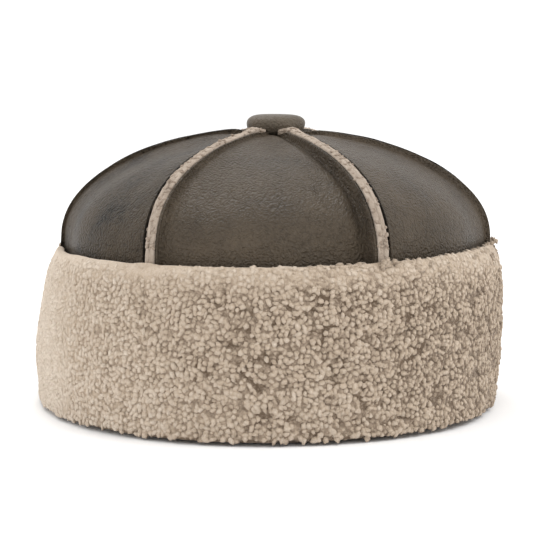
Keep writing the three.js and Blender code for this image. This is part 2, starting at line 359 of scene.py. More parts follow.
def build_curl_group():
    """Clipped wool close up: small soft tufts with finer fibres on top."""
    inputs = {"Tufts per metre": 900.0, "Fibres per metre": 2400.0}
    outputs = {"Height": "NodeSocketFloat", "Mottle": "NodeSocketFloat"}
    group, given, result = add_group("Clipped wool", inputs, outputs)
    place = group.nodes.new("ShaderNodeTexCoord").outputs["Object"]
    bent = add_warp(group, place, 420.0, 0.003)
    tufts = add_cells(group, bent, given.outputs["Tufts per metre"])
    fibres = add_noise(group, bent, given.outputs["Fibres per metre"], 3.0, 0.7)
    height = add_math(group, "MULTIPLY_ADD", tufts, -0.8, add_math(group, "MULTIPLY", fibres, 0.5))
    group.links.new(height, result.inputs["Height"])
    mottle = add_noise(group, place, 130.0, 4.0, 0.65)
    group.links.new(mottle, result.inputs["Mottle"])
    return group


def add_relief(tree, shader, height, distance, strength):
    relief = tree.nodes.new("ShaderNodeBump")
    relief.inputs["Distance"].default_value = distance
    relief.inputs["Strength"].default_value = strength
    tree.links.new(height, relief.inputs["Height"])
    tree.links.new(relief.outputs["Normal"], shader.inputs["Normal"])


def stored_value(tree, name):
    """A number that the mesh holds at each vertex."""
    stored = tree.nodes.new("ShaderNodeAttribute")
    stored.attribute_name = name
    return stored.outputs["Fac"]


def leather_finish(grain, name, base, gloss_roughness, bump):
    """Soft nappa leather: mottled brown, rubbed a little paler on the pebbles, with painted shade that makes
    it dark and dull along the seam edges.
    """
    finish, nodes, links, shader = new_material(name)
    pattern = use_group(nodes, grain)
    tree = finish.node_tree
    dark = tuple(channel * 0.78 for channel in base)
    light = tuple(channel * 1.22 for channel in base)
    shadow = tuple(channel * 0.12 for channel in base)
    # Painted shade along the seam edges, read from the mesh: it pulls the colour down towards the shadow
    # colour.
    seam_shade = stored_value(tree, "seam_shade")
    tone_and_seam_shade = add_math(tree, "MULTIPLY_ADD", pattern.outputs["Height"], 0.5, 0.08)
    tone_and_seam_shade = add_math(tree, "ADD", tone_and_seam_shade, pattern.outputs["Mottle"])
    tone_and_seam_shade = add_math(tree, "MULTIPLY_ADD", seam_shade, -0.45, tone_and_seam_shade)
    colour = add_ramp(tree, tone_and_seam_shade, [(0.05, shadow), (0.3, dark), (0.5, base), (0.72, light)])
    links.new(colour, shader.inputs["Base Color"])
    rough = add_math(tree, "MULTIPLY_ADD", pattern.outputs["Mottle"], 0.16, gloss_roughness - 0.08)
    links.new(rough, shader.inputs["Roughness"])
    add_relief(tree, shader, pattern.outputs["Height"], 0.0018, bump)
    # Less shine under the painted seam shade, so that it stays dark.
    shine = add_math(tree, "MULTIPLY_ADD", seam_shade, -0.17, 0.19)
    links.new(shine, shader.inputs["Specular IOR Level"])
    return finish


def wool_finish(curls, name, deep, middle, tip, bump, share):
    """Wool: painted shade makes it brown in the cracks, and painted light makes it paler where it stands up.
    The mesh holds these painted values, with the wool's own tone, at each vertex.
    """
    finish, nodes, links, shader = new_material(name)
    tree = finish.node_tree
    pattern = use_group(nodes, curls)
    # Painted shade and light: from the mesh's values and the tufts of the pattern, dark in the cracks and
    # pale on the tops.
    high = add_math(tree, "MULTIPLY_ADD", pattern.outputs["Height"], share, stored_value(tree, "tone_and_shade"))
    high = add_math(tree, "SUBTRACT", high, 0.13)
    mottled = add_math(tree, "MULTIPLY_ADD", pattern.outputs["Mottle"], 0.34, high)
    colour = add_ramp(tree, mottled, [(0.0, deep), (0.42, middle), (0.95, tip)])
    links.new(colour, shader.inputs["Base Color"])
    add_relief(tree, shader, pattern.outputs["Height"], 0.0008, bump)
    shader.inputs["Roughness"].default_value = 0.95
    shader.inputs["Specular IOR Level"].default_value = 0.15
    shader.inputs["Sheen Weight"].default_value = 0.3
    shader.inputs["Sheen Roughness"].default_value = 0.45
    shader.inputs["Sheen Tint"].default_value = (1.0, 0.88, 0.76, 1.0)
    return finish


def fibre_finish(name, dark, pale):
    """Single fibres, each a little paler or darker than the next."""
    finish, _, links, shader = new_material(name)
    tree = finish.node_tree
    # The mesh's values: each fibre's own tone, with painted light and shade on top.
    colour = add_ramp(tree, stored_value(tree, "tone_and_shade"), [(0.0, dark), (1.0, pale)])
    links.new(colour, shader.inputs["Base Color"])
    shader.inputs["Roughness"].default_value = 0.9
    shader.inputs["Specular IOR Level"].default_value = 0.2
    shader.inputs["Sheen Weight"].default_value = 0.2
    return finish


grain_group = build_grain_group()
curl_group = build_curl_group()
crown_leather = leather_finish(grain_group, "Gore leather", (0.073, 0.055, 0.037), 0.36, 1.0)
button_leather = leather_finish(grain_group, "Button leather", (0.100, 0.080, 0.058), 0.5, 0.7)
cuff_wool_finish = wool_finish(
    curl_group, "Cuff wool", (0.13, 0.09, 0.06), (0.485, 0.386, 0.292), (0.68, 0.59, 0.495), 1.0, 0.5)
crown_wool_finish = wool_finish(
    curl_group, "Gore wool", (0.13, 0.09, 0.066), (0.28, 0.218, 0.168), (0.47, 0.395, 0.325), 0.8, 0.3)
fibre_colour = fibre_finish("Wool fibres", (0.27, 0.208, 0.158), (0.55, 0.47, 0.39))


def finish_piece(piece, material, slot, *nodes):
    """Dresses a piece, lets it ride on the cap and hides the solids that it stands for."""
    piece.data.materials.clear()
    piece.data.materials.append(material)
    pick(piece)
    bpy.ops.object.shade_smooth()
    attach(piece, "root")
    if nodes:
        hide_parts(*nodes)


# Crown leather

def climb_of(points):
    """0 on the upright wall of the crown, 1 at the top of its dome."""
    share = np.clip((points[:, 2] - SPRING_HEIGHT) / (DOME_RISE + RIDGE_RISE), 0.0, 1.0)
    return np.arcsin(share) / (math.pi / 2)


def beside_seam(points, seam):
    """Distance from the middle of a seam along the surface, growing anticlockwise seen from above."""
    climb = climb_of(points)
    sway = SEAM_SWAY[seam % 6] * np.sin(math.pi * climb) ** 2
    seam_turn = FIRST_SEAM + 60.0 * seam - SEAM_TURN * climb + sway
    across, along = points[:, 0] - CAP_AXIS.x, -points[:, 1]
    turn = np.degrees(np.arctan2(across, along))
    off = (turn - seam_turn + 180.0) % 360.0 - 180.0
    return np.radians(off) * np.hypot(across, along)


def height_over_crown(points):
    """Unit directions away from the middle of the dome, and how far each point lies outside its outline."""
    from_middle = points - np.array([CAP_AXIS.x, 0.0, SPRING_HEIGHT])
    from_middle[:, 2] = np.maximum(from_middle[:, 2], 0.0)
    distance = np.linalg.norm(from_middle, axis=1)
    stretched = from_middle / np.array([CROWN_RADIUS, CROWN_RADIUS, DOME_RISE])
    share = np.linalg.norm(stretched, axis=1)
    return from_middle / distance[:, None], distance * (1.0 - 1.0 / share)


def swell_beside_seams(points, number):
    """Lifts the leather beside the seams, and lays a soft fold beside the deep valley of the front gore."""
    away, height = height_over_crown(points)
    first_shows, second_shows = EDGE_SHOWS[number]
    for seam, side, shows in ((number - 1, 1.0, first_shows), (number, -1.0, second_shows)):
        off = side * beside_seam(points, seam)
        keep = shows + (1.0 - shows) * smoothstep(off, 0.004, 0.026)
        near_top = smoothstep(np.hypot(points[:, 0] - CAP_AXIS.x, points[:, 1]), 0.014, 0.03)
        keep = 1.0 - (1.0 - keep) * near_top
        lift = np.maximum(RIDGE_RISE - height, 0.0) * (1.0 - keep)
        points = points + away * lift[:, None]
        height = height + lift
    radius = np.hypot(points[:, 0], points[:, 1])
    at_side = smoothstep(np.abs(points[:, 0] - CAP_AXIS.x) / (radius + 0.001), 0.8, 0.95)
    beside = np.minimum(beside_seam(points, number - 1), -beside_seam(points, number))
    points = points + away * (at_side * (1.0 - smoothstep(beside, 0.004, 0.02)) * 0.0007)[:, None]
    if number == 1:
        off = -beside_seam(points, 1)
        climb = climb_of(points)
        crest = bell(off, 0.0125 - 0.003 * climb, 0.0042) * smoothstep(off, 0.0045, 0.009)
        along = 0.35 + 0.65 * np.sin(math.pi * np.clip(climb * 1.15 + 0.12, 0.0, 1.0))
        points = points + away * (crest * along * 0.0019 * smoothstep(climb, -0.01, 0.2))[:, None]
    return points


def leather_gore(number):
    """One gore of the crown: softly wrinkled leather, its edges turned up beside the wool of the seams."""
    piece = copy_of_solid(f"leather_gore_{number}", f"gore_leather_{number}")
    cut_tall_edges(piece, 0.03, 4)
    crease_sharp_edges(piece, 60, 0.55)
    apply_subdivision(piece, 2)
    divide_faces(piece, lambda centre, normal: outward_share(centre, normal) > 0.5 and centre.z > 0.07)
    move_points(piece, swell_beside_seams(points_of(piece), number))
    points = points_of(piece)
    normals = normals_of(piece)
    facing = smoothstep(np.einsum("ij,ij->i", normals, outward(points)), 0.55, 0.9)
    broad = wobble(points, 0.030, 1.0 + number)
    small = wobble(points * np.array([1.0, 1.0, 0.55]), 0.0085, 4.0 + number)
    relief = broad * 0.00055 + small * 0.00014
    move_points(piece, points + normals * (relief * facing)[:, None])
    points = points_of(piece)
    beside = np.minimum(beside_seam(points, number - 1), -beside_seam(points, number))
    # Painted shade: dark along the leather beside each seam, and a painted shade of 0.36 over the whole of
    # gore 6.
    in_shade = 0.36 * (number == 6)
    keep_values(piece, "seam_shade", np.maximum(1.0 - smoothstep(beside, 0.0030, 0.0044), in_shade))
    finish_piece(piece, crown_leather, "leather", f"gore_leather_{number}")
    return piece


# Crown wool

SEAM_GAP = 0.00034


def close_seams(piece, number):
    """Moves the faces on both sides of a gore against those of the next gores, so that no gap shows."""
    others = [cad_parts[f"gore_wool_{other}"].data for other in GORES if other != number]
    tree = kdtree.KDTree(sum(len(other.vertices) for other in others))
    for index, vertex in enumerate(vertex for other in others for vertex in other.vertices):
        tree.insert(vertex.co, index)
    tree.balance()
    for vertex in piece.data.vertices:
        place, _, distance = tree.find(vertex.co)
        if distance < SEAM_GAP:
            vertex.co = (vertex.co + place) / 2


def wool_gore(number):
    """The wool of one gore: the inside of the cap, and half of the pale strips on both of its seams."""
    piece = copy_of_solid(f"wool_gore_{number}", f"gore_wool_{number}")
    close_seams(piece, number)
    cut_tall_edges(piece, 0.03, 5)
    crease_sharp_edges(piece, 50, 0.9)
    apply_subdivision(piece, 2)
    divide_faces(piece, lambda centre, normal: outward_share(centre, normal) < -0.5)
    points = points_of(piece)
    normals = normals_of(piece)
    away = np.einsum("ij,ij->i", normals, outward(points))
    inside = smoothstep(-away, 0.4, 0.8)
    dome, crack = clump_field(points / 0.0052, 3.0)
    fine = clump_field(points / 0.0021, 5.0)[0]
    soft = smoothstep(crack, 0.0, 0.25)
    relief = inside * (soft * 0.0011 + dome * 0.0006 - 0.0012)
    from_middle = np.linalg.norm(points - np.array(CAP_AXIS), axis=1)
    strip = smoothstep(away, 0.3, 0.8) * smoothstep(from_middle, 0.098, 0.1)
    from_axis = np.hypot(points[:, 0] - CAP_AXIS.x, points[:, 1])
    at_button = smoothstep(from_axis, 0.0145, 0.0175) * (1.0 - smoothstep(from_axis, 0.018, 0.030))
    in_front = smoothstep(-points[:, 1], 0.004, 0.009)
    tufts, tuft_crack = clump_field(points / 0.0034, 8.0)
    relief += strip * (fine * 0.0006 + tufts * 0.0006 + wobble(points, 0.007, 2.0) * 0.0004 - 0.0007)
    relief += strip * at_button * in_front * 0.0010
    at_side = smoothstep(np.abs(points[:, 0] - CAP_AXIS.x) / np.maximum(from_axis, 0.001), 0.8, 0.95)
    upward, height = height_over_crown(points)
    raised = smoothstep(height, 0.0002, 0.0020) * at_side * smoothstep(from_axis, 0.012, 0.02)
    lowered = points - upward * (raised * 0.0010)[:, None]
    move_points(piece, lowered + normals * (relief * (1.0 - 0.6 * at_side))[:, None])
    # Painted shade: the lining darker in its cracks, the strips paler on their tufts and darker in the cracks
    # between them.
    strip_shade = 0.48 + 0.2 * fine + 0.14 * smoothstep(tuft_crack, 0.0, 0.3)
    keep_values(piece, "tone_and_shade", np.where(inside > 0.3, 0.25 + 0.75 * soft, strip_shade))
    finish_piece(piece, crown_wool_finish, "crown_wool", f"gore_wool_{number}")
    return piece


# Cuff

# Outline of the cuff's wool, from the floor inside round the belly and over the lip, down again behind:
# distance from the axis and height, in millimetres.
CUFF_OUTLINE = [
    (103.4, 2.6), (103.6, 0.3), (106.8, 0.0), (111.8, 0.0), (117.2, 0.1), (118.9, 2.2), (118.5, 9.0),
    (118.3, 17.5), (118.3, 25.5), (118.1, 33.5), (117.6, 41.5), (117.0, 49.5), (116.2, 57.5), (115.2, 65.0),
    (113.9, 71.8), (112.3, 77.2), (110.2, 80.5), (107.8, 80.9), (106.0, 79.9), (105.8, 77.9), (108.0, 77.0),
    (110.4, 76.6), (110.4, 60.0), (110.4, 35.0), (110.4, 14.0), (109.6, 8.4), (106.9, 6.0), (104.4, 6.6),
]
SPIN_STEPS = 72


def order_faces(piece):
    """Sorts the faces by their corners, because spin leaves them in another order on each run."""
    faces = []
    for face in piece.data.polygons:
        corners = list(face.vertices)
        start = corners.index(min(corners))
        faces.append(corners[start:] + corners[:start])
    places = points_of(piece)
    piece.data.clear_geometry()
    piece.data.from_pydata(places, [], sorted(faces))


def spun_ring(name, outline, steps):
    """A ring made from an outline: its points are drawn by extruding one after the other, and then spun."""
    bpy.ops.object.select_all(action="DESELECT")
    bpy.ops.mesh.primitive_plane_add(size=0.001, location=(0.0, 0.0, 0.0))
    piece = bpy.context.object
    piece.name = name
    edit(piece, "VERT")
    bpy.ops.mesh.select_all(action="SELECT")
    bpy.ops.mesh.merge(type="CENTER")
    first = Vector((outline[0][0], 0.0, outline[0][1])) * MM
    bpy.ops.transform.translate(value=first)
    for before, after in zip(outline, outline[1:] + outline[:1]):
        step = Vector((after[0] - before[0], 0.0, after[1] - before[1])) * MM
        bpy.ops.mesh.extrude_region_move(TRANSFORM_OT_translate={"value": step})
    bpy.ops.mesh.select_all(action="SELECT")
    bpy.ops.mesh.remove_doubles(threshold=0.00001)
    bpy.ops.mesh.spin(steps=steps, angle=2 * math.pi, center=(0.0, 0.0, 0.0), axis=(0.0, 0.0, 1.0))
    bpy.ops.mesh.select_all(action="SELECT")
    bpy.ops.mesh.remove_doubles(threshold=0.00001)
    bpy.ops.mesh.normals_make_consistent(inside=False)
    leave_edit()
    order_faces(piece)
    return piece


def settle_cuff(points):
    """The soft foot of the cap has moved aside, and the cuff stands a little higher on one side."""
    settled = points.copy()
    upper = smoothstep(points[:, 2], TILT_START, CUFF_HEIGHT)
    settled[:, 2] += CUFF_TILT * upper * points[:, 0] / CUFF_RADIUS
    turn = np.degrees(np.arctan2(points[:, 1], points[:, 0]))
    radius = np.hypot(points[:, 0], points[:, 1])
    near_lip = smoothstep(points[:, 2], 0.060, 0.080)
    corner = (1.0 - smoothstep(points[:, 0], -0.118, -0.088)) * near_lip
    right_corner = smoothstep(points[:, 0], 0.098, 0.117) * near_lip
    settled[:, 2] -= LEFT_CORNER_DROP * corner + RIGHT_CORNER_DROP * right_corner
    outer = smoothstep(radius, 0.1085, 0.1125)
    curled = bell(turn, -34.0, 26.0) * smoothstep(radius, 0.111, 0.1165)
    heel = (1.0 - smoothstep(points[:, 2], 0.0, 0.012)) * outer
    settled[:, 2] += (HEEL_LIFT + HEEL_CURL * curled) * heel
    low = (1.0 - smoothstep(points[:, 2], 0.004, 0.026)) * smoothstep(radius, 0.108, 0.114)
    fuller = FRONT_HEEL_BULGE * bell(turn, -40.0, 17.0)
    tucked = RIGHT_HEEL_TUCK * bell(turn, 0.0, 16.0) + LEFT_HEEL_TUCK * bell(np.abs(turn), 180.0, 42.0)
    away = points[:, :2] / np.maximum(radius, 0.001)[:, None]
    pulled_in = (LEFT_CORNER_TUCK * corner - RIGHT_CORNER_SPREAD * right_corner) * outer
    settled[:, :2] += away * ((fuller - tucked) * low - pulled_in)[:, None]
    settled[:, 0] += CAP_AXIS.x - FOOT_LEAN * (1.0 - smoothstep(settled[:, 2], 0.0, SPRING_HEIGHT))
    return settled


def seam_nearness(points):
    """1 beside a seam ridge, 0 in the middle of a gore."""
    turn = np.degrees(np.arctan2(points[:, 0] - CAP_AXIS.x, -points[:, 1]))
    off = np.abs((turn - FIRST_SEAM + 30.0) % 60.0 - 30.0)
    return 1.0 - smoothstep(off, 2.6, 6.0)


def paler(places):
    """How much paler the wool is: painted light makes it paler towards the brushed left end, where the light
    falls, painted shade darker towards the right, and a painted rim glow pales the right lip; it is also a
    little paler near the floor.
    """
    left = 0.17 * (1.0 - smoothstep(places[:, 0], -0.115, -0.01))
    right = 0.10 * smoothstep(places[:, 0], 0.01, 0.09)
    right_lip = 0.12 * smoothstep(places[:, 0], 0.05, 0.1) * smoothstep(places[:, 2], 0.062, 0.072)
    return left - right + right_lip + 0.06 * (1.0 - smoothstep(places[:, 2], 0.012, 0.04))


def calmness(points):
    """How smooth the cuff's wool lies: 1 at the brushed left end and along the top edge, 0 elsewhere."""
    left_end = 1.0 - smoothstep(points[:, 0], *COMBED_END)
    top_edge = smoothstep(points[:, 2], 0.066, 0.079)
    return np.maximum(left_end * 0.9, top_edge * 0.65)


def group_cracks(points):
    """1 on a group of clumps, falling to 0 in the winding cracks between the groups, which come and go."""
    bent = points + np.stack([wobble(points, 0.006, seed) for seed in (11.0, 12.0, 13.0)], axis=1) * 0.0022
    group, crack = clump_field(bent / np.array([0.0095, 0.0095, 0.0078]), 2.0)
    open_here = 0.25 + 0.6 * smoothstep(points[:, 0], -0.09, 0.01) + 0.55 * wobble(points, 0.014, 17.0)
    return group, 1.0 - (1.0 - smoothstep(crack, 0.03, 0.15)) * np.clip(open_here, 0.0, 1.0)


def cuff_wool():
    """The turned-up cuff, wool side out: curls in groups with winding cracks, and a brushed edge on top that
    is painted paler.
    """
    piece = spun_ring("cuff_wool_ring", CUFF_OUTLINE, SPIN_STEPS)
    apply_subdivision(piece, 2)
    points = points_of(piece)
    round_place = np.hypot(points[:, 0], points[:, 1])
    lip = smoothstep(points[:, 2], 0.0745, 0.077) * (1.0 - smoothstep(round_place, 0.1095, 0.1125))
    aside = lip * seam_nearness(points + np.array(CAP_AXIS)) * np.maximum(0.0, 0.1092 - round_place)
    points[:, :2] *= (1.0 + aside / round_place)[:, None]
    move_points(piece, settle_cuff(points))

    points = points_of(piece)
    normals = normals_of(piece)
    calm = calmness(points)
    away = np.hypot(points[:, 0], points[:, 1])
    shown = smoothstep(away, 0.1105, 0.1135) * smoothstep(points[:, 2], -0.001, 0.0006)
    shown = np.maximum(shown, smoothstep(points[:, 2], 0.0755, 0.0785))
    group, group_edge = group_cracks(points)
    relief = ((group_edge - 1.0) * 0.0006 + (group - 0.5) * 0.0005) * (1.0 - calm)
    relief += wobble(points, 0.016, 9.0) * 0.0004 - 0.0011 + calm * 0.0003
    moved = points + normals * (relief * shown)[:, None]
    moved[:, 2] = np.maximum(moved[:, 2], np.minimum(points[:, 2], WOOL_FLOOR))
    move_points(piece, moved)
    # Painted shade: darker in the cracks between the groups and a painted shadow near the floor; the calm
    # wool of the brushed left end and the top edge is painted paler, and paler() adds its painted light and
    # shade.
    floor_shadow = 1.0 - smoothstep(points[:, 2], 0.001, 0.0036)
    tone_and_shade = 0.20 * group_edge + 0.47 * calm + paler(points) - 0.6 * floor_shadow
    keep_values(piece, "tone_and_shade", np.clip(tone_and_shade, 0.0, 1.0))
    finish_piece(piece, cuff_wool_finish, "cuff_wool", "cuff_wool")
    return piece


# Button

def covered_button():
    """Leather drawn over a round button: rounded rim, slightly domed face, gathered underneath."""
    low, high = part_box("button")
    middle = (low + high) / 2
    radius = (high.x - low.x) / 2
    piece = copy_of_solid("covered_button", "button")
    apply_subdivision(piece, 2)
    points = points_of(piece)
    turn = np.arctan2(points[:, 1] - middle.y, points[:, 0] - middle.x)
    out = np.hypot(points[:, 0] - middle.x, points[:, 1] - middle.y)
    low_side = (1.0 - smoothstep(points[:, 2], low.z, middle.z)) * smoothstep(out, radius * 0.6, radius)
    gathers = np.sin(turn * 26.0 + 1.5 * np.sin(turn * 3.0)) * 0.00022 * low_side
    dents = wobble(points, 0.006, 21.0) * 0.00022
    narrow = low_side * 0.0004 - 0.0003
    level = np.clip((points[:, 2] - middle.z) / (high.z - middle.z), -1.0, 1.0)
    rounding = 0.16 * np.abs(level) ** 2.4 * smoothstep(out, radius * 0.5, radius)
    scale = 0.965 - rounding + (gathers + dents - narrow) / np.maximum(out, 0.004)
    points[:, 0] = middle.x - 0.0006 + (points[:, 0] - middle.x) * scale
    points[:, 1] = middle.y + (points[:, 1] - middle.y) * scale
    points[:, 2] += wobble(points, 0.008, 22.0) * 0.0001
    points[:, 2] -= 0.0016 * (1.0 - smoothstep(points[:, 2], low.z, middle.z))
    move_points(piece, points)
    finish_piece(piece, button_leather, "leather", "button")
    return piece


# Locks and fibres of the wool

def bed_of(pieces, weight_of):
    """Centres, normals and shares of the area of the faces where locks may grow."""
    centres, normals, weights = [], [], []
    for piece in pieces:
        count = len(piece.data.polygons)
        centre, normal, area = np.empty(count * 3), np.empty(count * 3), np.empty(count)
        piece.data.polygons.foreach_get("center", centre)
        piece.data.polygons.foreach_get("normal", normal)
        piece.data.polygons.foreach_get("area", area)
        centre, normal = centre.reshape(-1, 3), normal.reshape(-1, 3)
        centres.append(centre)
        normals.append(normal)
        weights.append(area * weight_of(centre, normal))
    weights = np.concatenate(weights)
    return np.concatenate(centres), np.concatenate(normals), weights / weights.sum()


def scatter(bed, count, chance, comb=None, reach=0.0018):
    """Random roots on the faces of a bed, with the normal there and a random direction along the face."""
    centres, normals, weights = bed
    rooted = chance.choice(len(centres), size=count, p=weights)
    normal = normals[rooted]
    aside = chance.normal(size=(count, 3))
    for turn in (None, comb):
        if turn is not None:
            aside = aside + turn(centres[rooted])
        aside -= normal * np.einsum("ij,ij->i", aside, normal)[:, None]
        aside /= np.linalg.norm(aside, axis=1, keepdims=True) + 1e-9
    off = chance.uniform(-0.5, 0.5, (count, 2)) * reach
    return centres[rooted] + aside * off[:, :1] + np.cross(normal, aside) * off[:, 1:], normal, aside


def many_shapes(name, points, faces, shade, material, slot):
    """One mesh of many small closed shapes: the corners of each shape, and the faces of the first one."""
    points[:, :, 2] = np.maximum(points[:, :, 2], WOOL_FLOOR)
    count, per_shape = points.shape[:2]
    every = (np.array(faces)[None] + (np.arange(count) * per_shape)[:, None, None]).reshape(-1, 3)
    mesh = bpy.data.meshes.new(name)
    mesh.from_pydata(points.reshape(-1, 3), [], every)
    piece = bpy.data.objects.new(name, mesh)
    bpy.context.collection.objects.link(piece)
    keep_values(piece, "tone_and_shade", np.clip(shade, 0.0, 1.0).ravel())
    finish_piece(piece, material, slot)
    return piece


def tube_mesh(name, rings, tips, shade, sides, material, slot):
    """Many small tubes in one mesh. rings holds, for each joint, the middle of every tube there, two
    directions across it and its half width. tips holds the point of every tube, or None for a flat end."""
    rows = []
    for middle, first, second, width in rings:
        for side in range(sides):
            angle = 2.0 * math.pi * side / sides
            rows.append(middle + (first * math.cos(angle) + second * math.sin(angle)) * width[:, None])
    if tips is not None:
        rows.append(tips)
    points = np.stack(rows, axis=1)
    per_tube = points.shape[1]
    faces = [[0, side + 1, side] for side in range(1, sides - 1)]
    for joint in range(len(rings) - 1):
        for side in range(sides):
            here, beside = joint * sides + side, joint * sides + (side + 1) % sides
            faces += [[here, beside, beside + sides], [here, beside + sides, here + sides]]
    top = (len(rings) - 1) * sides
    if tips is None:
        faces += [[top, top + side, top + side + 1] for side in range(1, sides - 1)]
    else:
        faces += [[top + side, top + (side + 1) % sides, per_tube - 1] for side in range(sides)]
    return many_shapes(name, points, faces, shade, material, slot)


def spread_out(bed, count, apart, chance, comb=None):
    """Roots as scatter gives them, but none nearer to the next than a distance, and at most count of them."""
    root, normal, aside = scatter(bed, count * 5, chance, comb)
    tree = kdtree.KDTree(len(root))
    for index, place in enumerate(root):
        tree.insert(place, index)
    tree.balance()
    dropped = np.zeros(len(root), dtype=bool)
    kept = []
    for index, place in enumerate(root):
        if dropped[index]:
            continue
        kept.append(index)
        for _, other, _ in tree.find_range(place, apart):
            dropped[other] = True
    kept = np.array(kept[:count])
    return root[kept], normal[kept], aside[kept]


def soft_clumps(name, roots, size, seed, calm, sunk, shade_shift, foot_shade, material, slot):
    """Rounded clumps of wool, close together: irregular in outline, drooping a little, flat where calm."""
    chance = np.random.default_rng(seed)
    root, normal, aside = roots
    count = len(root)
    across = np.cross(normal, aside)
    combed = 1.0 - smoothstep(root[:, 0], *COMBED_END)
    long = size * chance.uniform(0.75, 1.6, count) * (1.0 + 0.9 * combed)
    wide = size * chance.uniform(0.7, 1.15, count) * (1.0 - 0.3 * combed)
    high = size * chance.uniform(0.4, 0.85, count) * (1.0 - 0.6 * calm)
    sunk = sunk + size * 0.12
    sides = CLUMP_SIDES
    turns = 2.0 * math.pi * (np.arange(sides)[None] + chance.uniform(-0.3, 0.3, (count, sides))) / sides
    uneven = chance.uniform(0.75, 1.2, (count, sides))
    around = (aside[:, None] * (np.cos(turns) * uneven * long[:, None])[:, :, None]
              + across[:, None] * (np.sin(turns) * uneven * wide[:, None])[:, :, None])
    droop = np.array([0.0, 0.0, -0.22]) * size
    foot = (root - normal * (sunk + size * 0.35)[:, None])[:, None] + around
    belly_high = (high * 0.62)[:, None] * chance.uniform(0.8, 1.2, (count, sides))
    belly = (root - normal * sunk[:, None])[:, None] + around * 0.8 + normal[:, None] * belly_high[:, :, None]
    lean = aside * (chance.normal(0.0, 0.12, count) * long)[:, None]
    top = root + normal * (high - sunk)[:, None] + lean + droop
    points = np.concatenate([foot, belly + droop * 0.6, top[:, None]], axis=1)
    faces = [[0, side + 1, side] for side in range(1, sides - 1)]
    for side in range(sides):
        beside = (side + 1) % sides
        faces += [[side, beside, beside + sides], [side, beside + sides, side + sides]]
        faces.append([side + sides, beside + sides, 2 * sides])
    own = chance.normal(0.0, 0.06, count) + shade_shift
    # Painted shade at the foot of each clump, less where the wool lies calm, and painted light on its belly
    # and more on its top.
    shade = np.empty((count, 2 * sides + 1))
    shade[:, :sides] = (foot_shade + 0.35 * calm)[:, None]
    shade[:, sides:2 * sides] = 0.40 + own[:, None]
    shade[:, 2 * sides] = 0.58 + own
    return many_shapes(name, points, faces, shade, material, slot)


def grow_curls(name, roots, length, thickness, seed, material, slot):
    """Curls that lie on the wool: each is a short fat tube that rises from the bed and bends back into it."""
    chance = np.random.default_rng(seed)
    root, normal, aside = roots
    count = len(root)
    across = np.cross(normal, aside)
    long = (length * chance.uniform(0.7, 1.35, count))[:, None]
    wide = thickness * chance.uniform(0.75, 1.2, count)
    high = (wide * chance.uniform(0.1, 0.9, count))[:, None]
    bow = long * chance.normal(0.0, 0.22, (count, 1))
    rings, shade = [], []
    own = chance.uniform(-0.12, 0.12, count) + paler(root)
    for share, width in ((0.0, 0.5), (0.3, 1.0), (0.7, 0.95), (1.0, 0.45)):
        rise = math.sin(math.pi * share)
        middle = root + aside * (share - 0.5) * long + across * bow * rise
        middle += normal * (high * rise - wide[:, None] * 0.45)
        leaning = aside * (0.35 + rise) + normal * math.cos(math.pi * share)
        leaning /= np.linalg.norm(leaning, axis=1, keepdims=True)
        upright = np.cross(across, leaning)
        rings.append((middle, across, upright, wide * width))
        # Painted light on the raised middle and upper side of each curl, darker at its ends where it sinks
        # into the bed; own holds its random tone and the painted light and shade of paler().
        turns = 2.0 * math.pi * np.arange(CURL_SIDES) / CURL_SIDES
        top = -np.sin(turns) * 0.5 + 0.5
        shade.append(own[:, None] + 0.36 + 0.34 * rise * top[None])
    return tube_mesh(name, rings, None, np.concatenate(shade, axis=1), CURL_SIDES, material, slot)


def grow_fibres(name, bed, count, length, seed, comb=None, slot="cuff_wool"):
    """Fine single fibres that stand off the wool, each leaning and bending its own way."""
    chance = np.random.default_rng(seed)
    root, normal, aside = scatter(bed, count, chance, comb)
    across = np.cross(normal, aside)
    long = (length * chance.uniform(0.5, 1.3, count))[:, None]
    wide = FIBRE_THICKNESS * chance.uniform(0.7, 1.3, count)
    rising = normal + aside * 0.8 * chance.uniform(0.4, 1.6, (count, 1))
    rising /= np.linalg.norm(rising, axis=1, keepdims=True)
    bend = aside * chance.uniform(0.1, 0.6, (count, 1)) + across * chance.normal(0.0, 0.35, (count, 1))
    bend -= normal * chance.uniform(0.1, 0.5, (count, 1))
    start = root - normal * long * 0.25
    rings = [
        (start, across, np.cross(rising, across), wide),
        (start + (rising * 0.55 + bend * 0.2) * long, across, np.cross(rising, across), wide * 0.8),
    ]
    # Each fibre's own random tone, plus the painted light and shade of paler().
    shade = np.repeat((chance.uniform(0.1, 0.9, count) + paler(root))[:, None], 7, axis=1)
    return tube_mesh(name, rings, start + (rising + bend) * long, shade, 3, fibre_colour, slot)


# Making the cap

for gore in GORES:
    leather_gore(gore)
wool_gores = [wool_gore(number) for number in GORES]
cuff = cuff_wool()
button = covered_button()
cuff_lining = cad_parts["cuff_leather"]
cuff_lining.data.materials.clear()
cuff_lining.data.materials.append(crown_leather)


def on_cuff(centre, normal):
    """The outside and the top of the cuff, but not its cracks, its underside or the rim beside a seam."""
    radius = np.hypot(centre[:, 0], centre[:, 1])
    closed = np.maximum(group_cracks(centre)[1], calmness(centre)) > 0.08
    behind_rim = (seam_nearness(centre) > 0.2) * (centre[:, 2] > 0.074) * (radius < 0.1115)
    under = (normal[:, 2] < -0.6) * (centre[:, 2] < 0.008)
    return (radius > 0.108) * (centre[:, 2] > 0.0028) * closed * (1.0 - behind_rim) * (1.0 - under)


def comb_left(places):
    """The wool at the left end is brushed flat, towards the back."""
    share = 1.0 - smoothstep(places[:, 0], *COMBED_END)
    return np.stack([np.zeros(len(places)), share * 3.0, np.zeros(len(places))], axis=1)


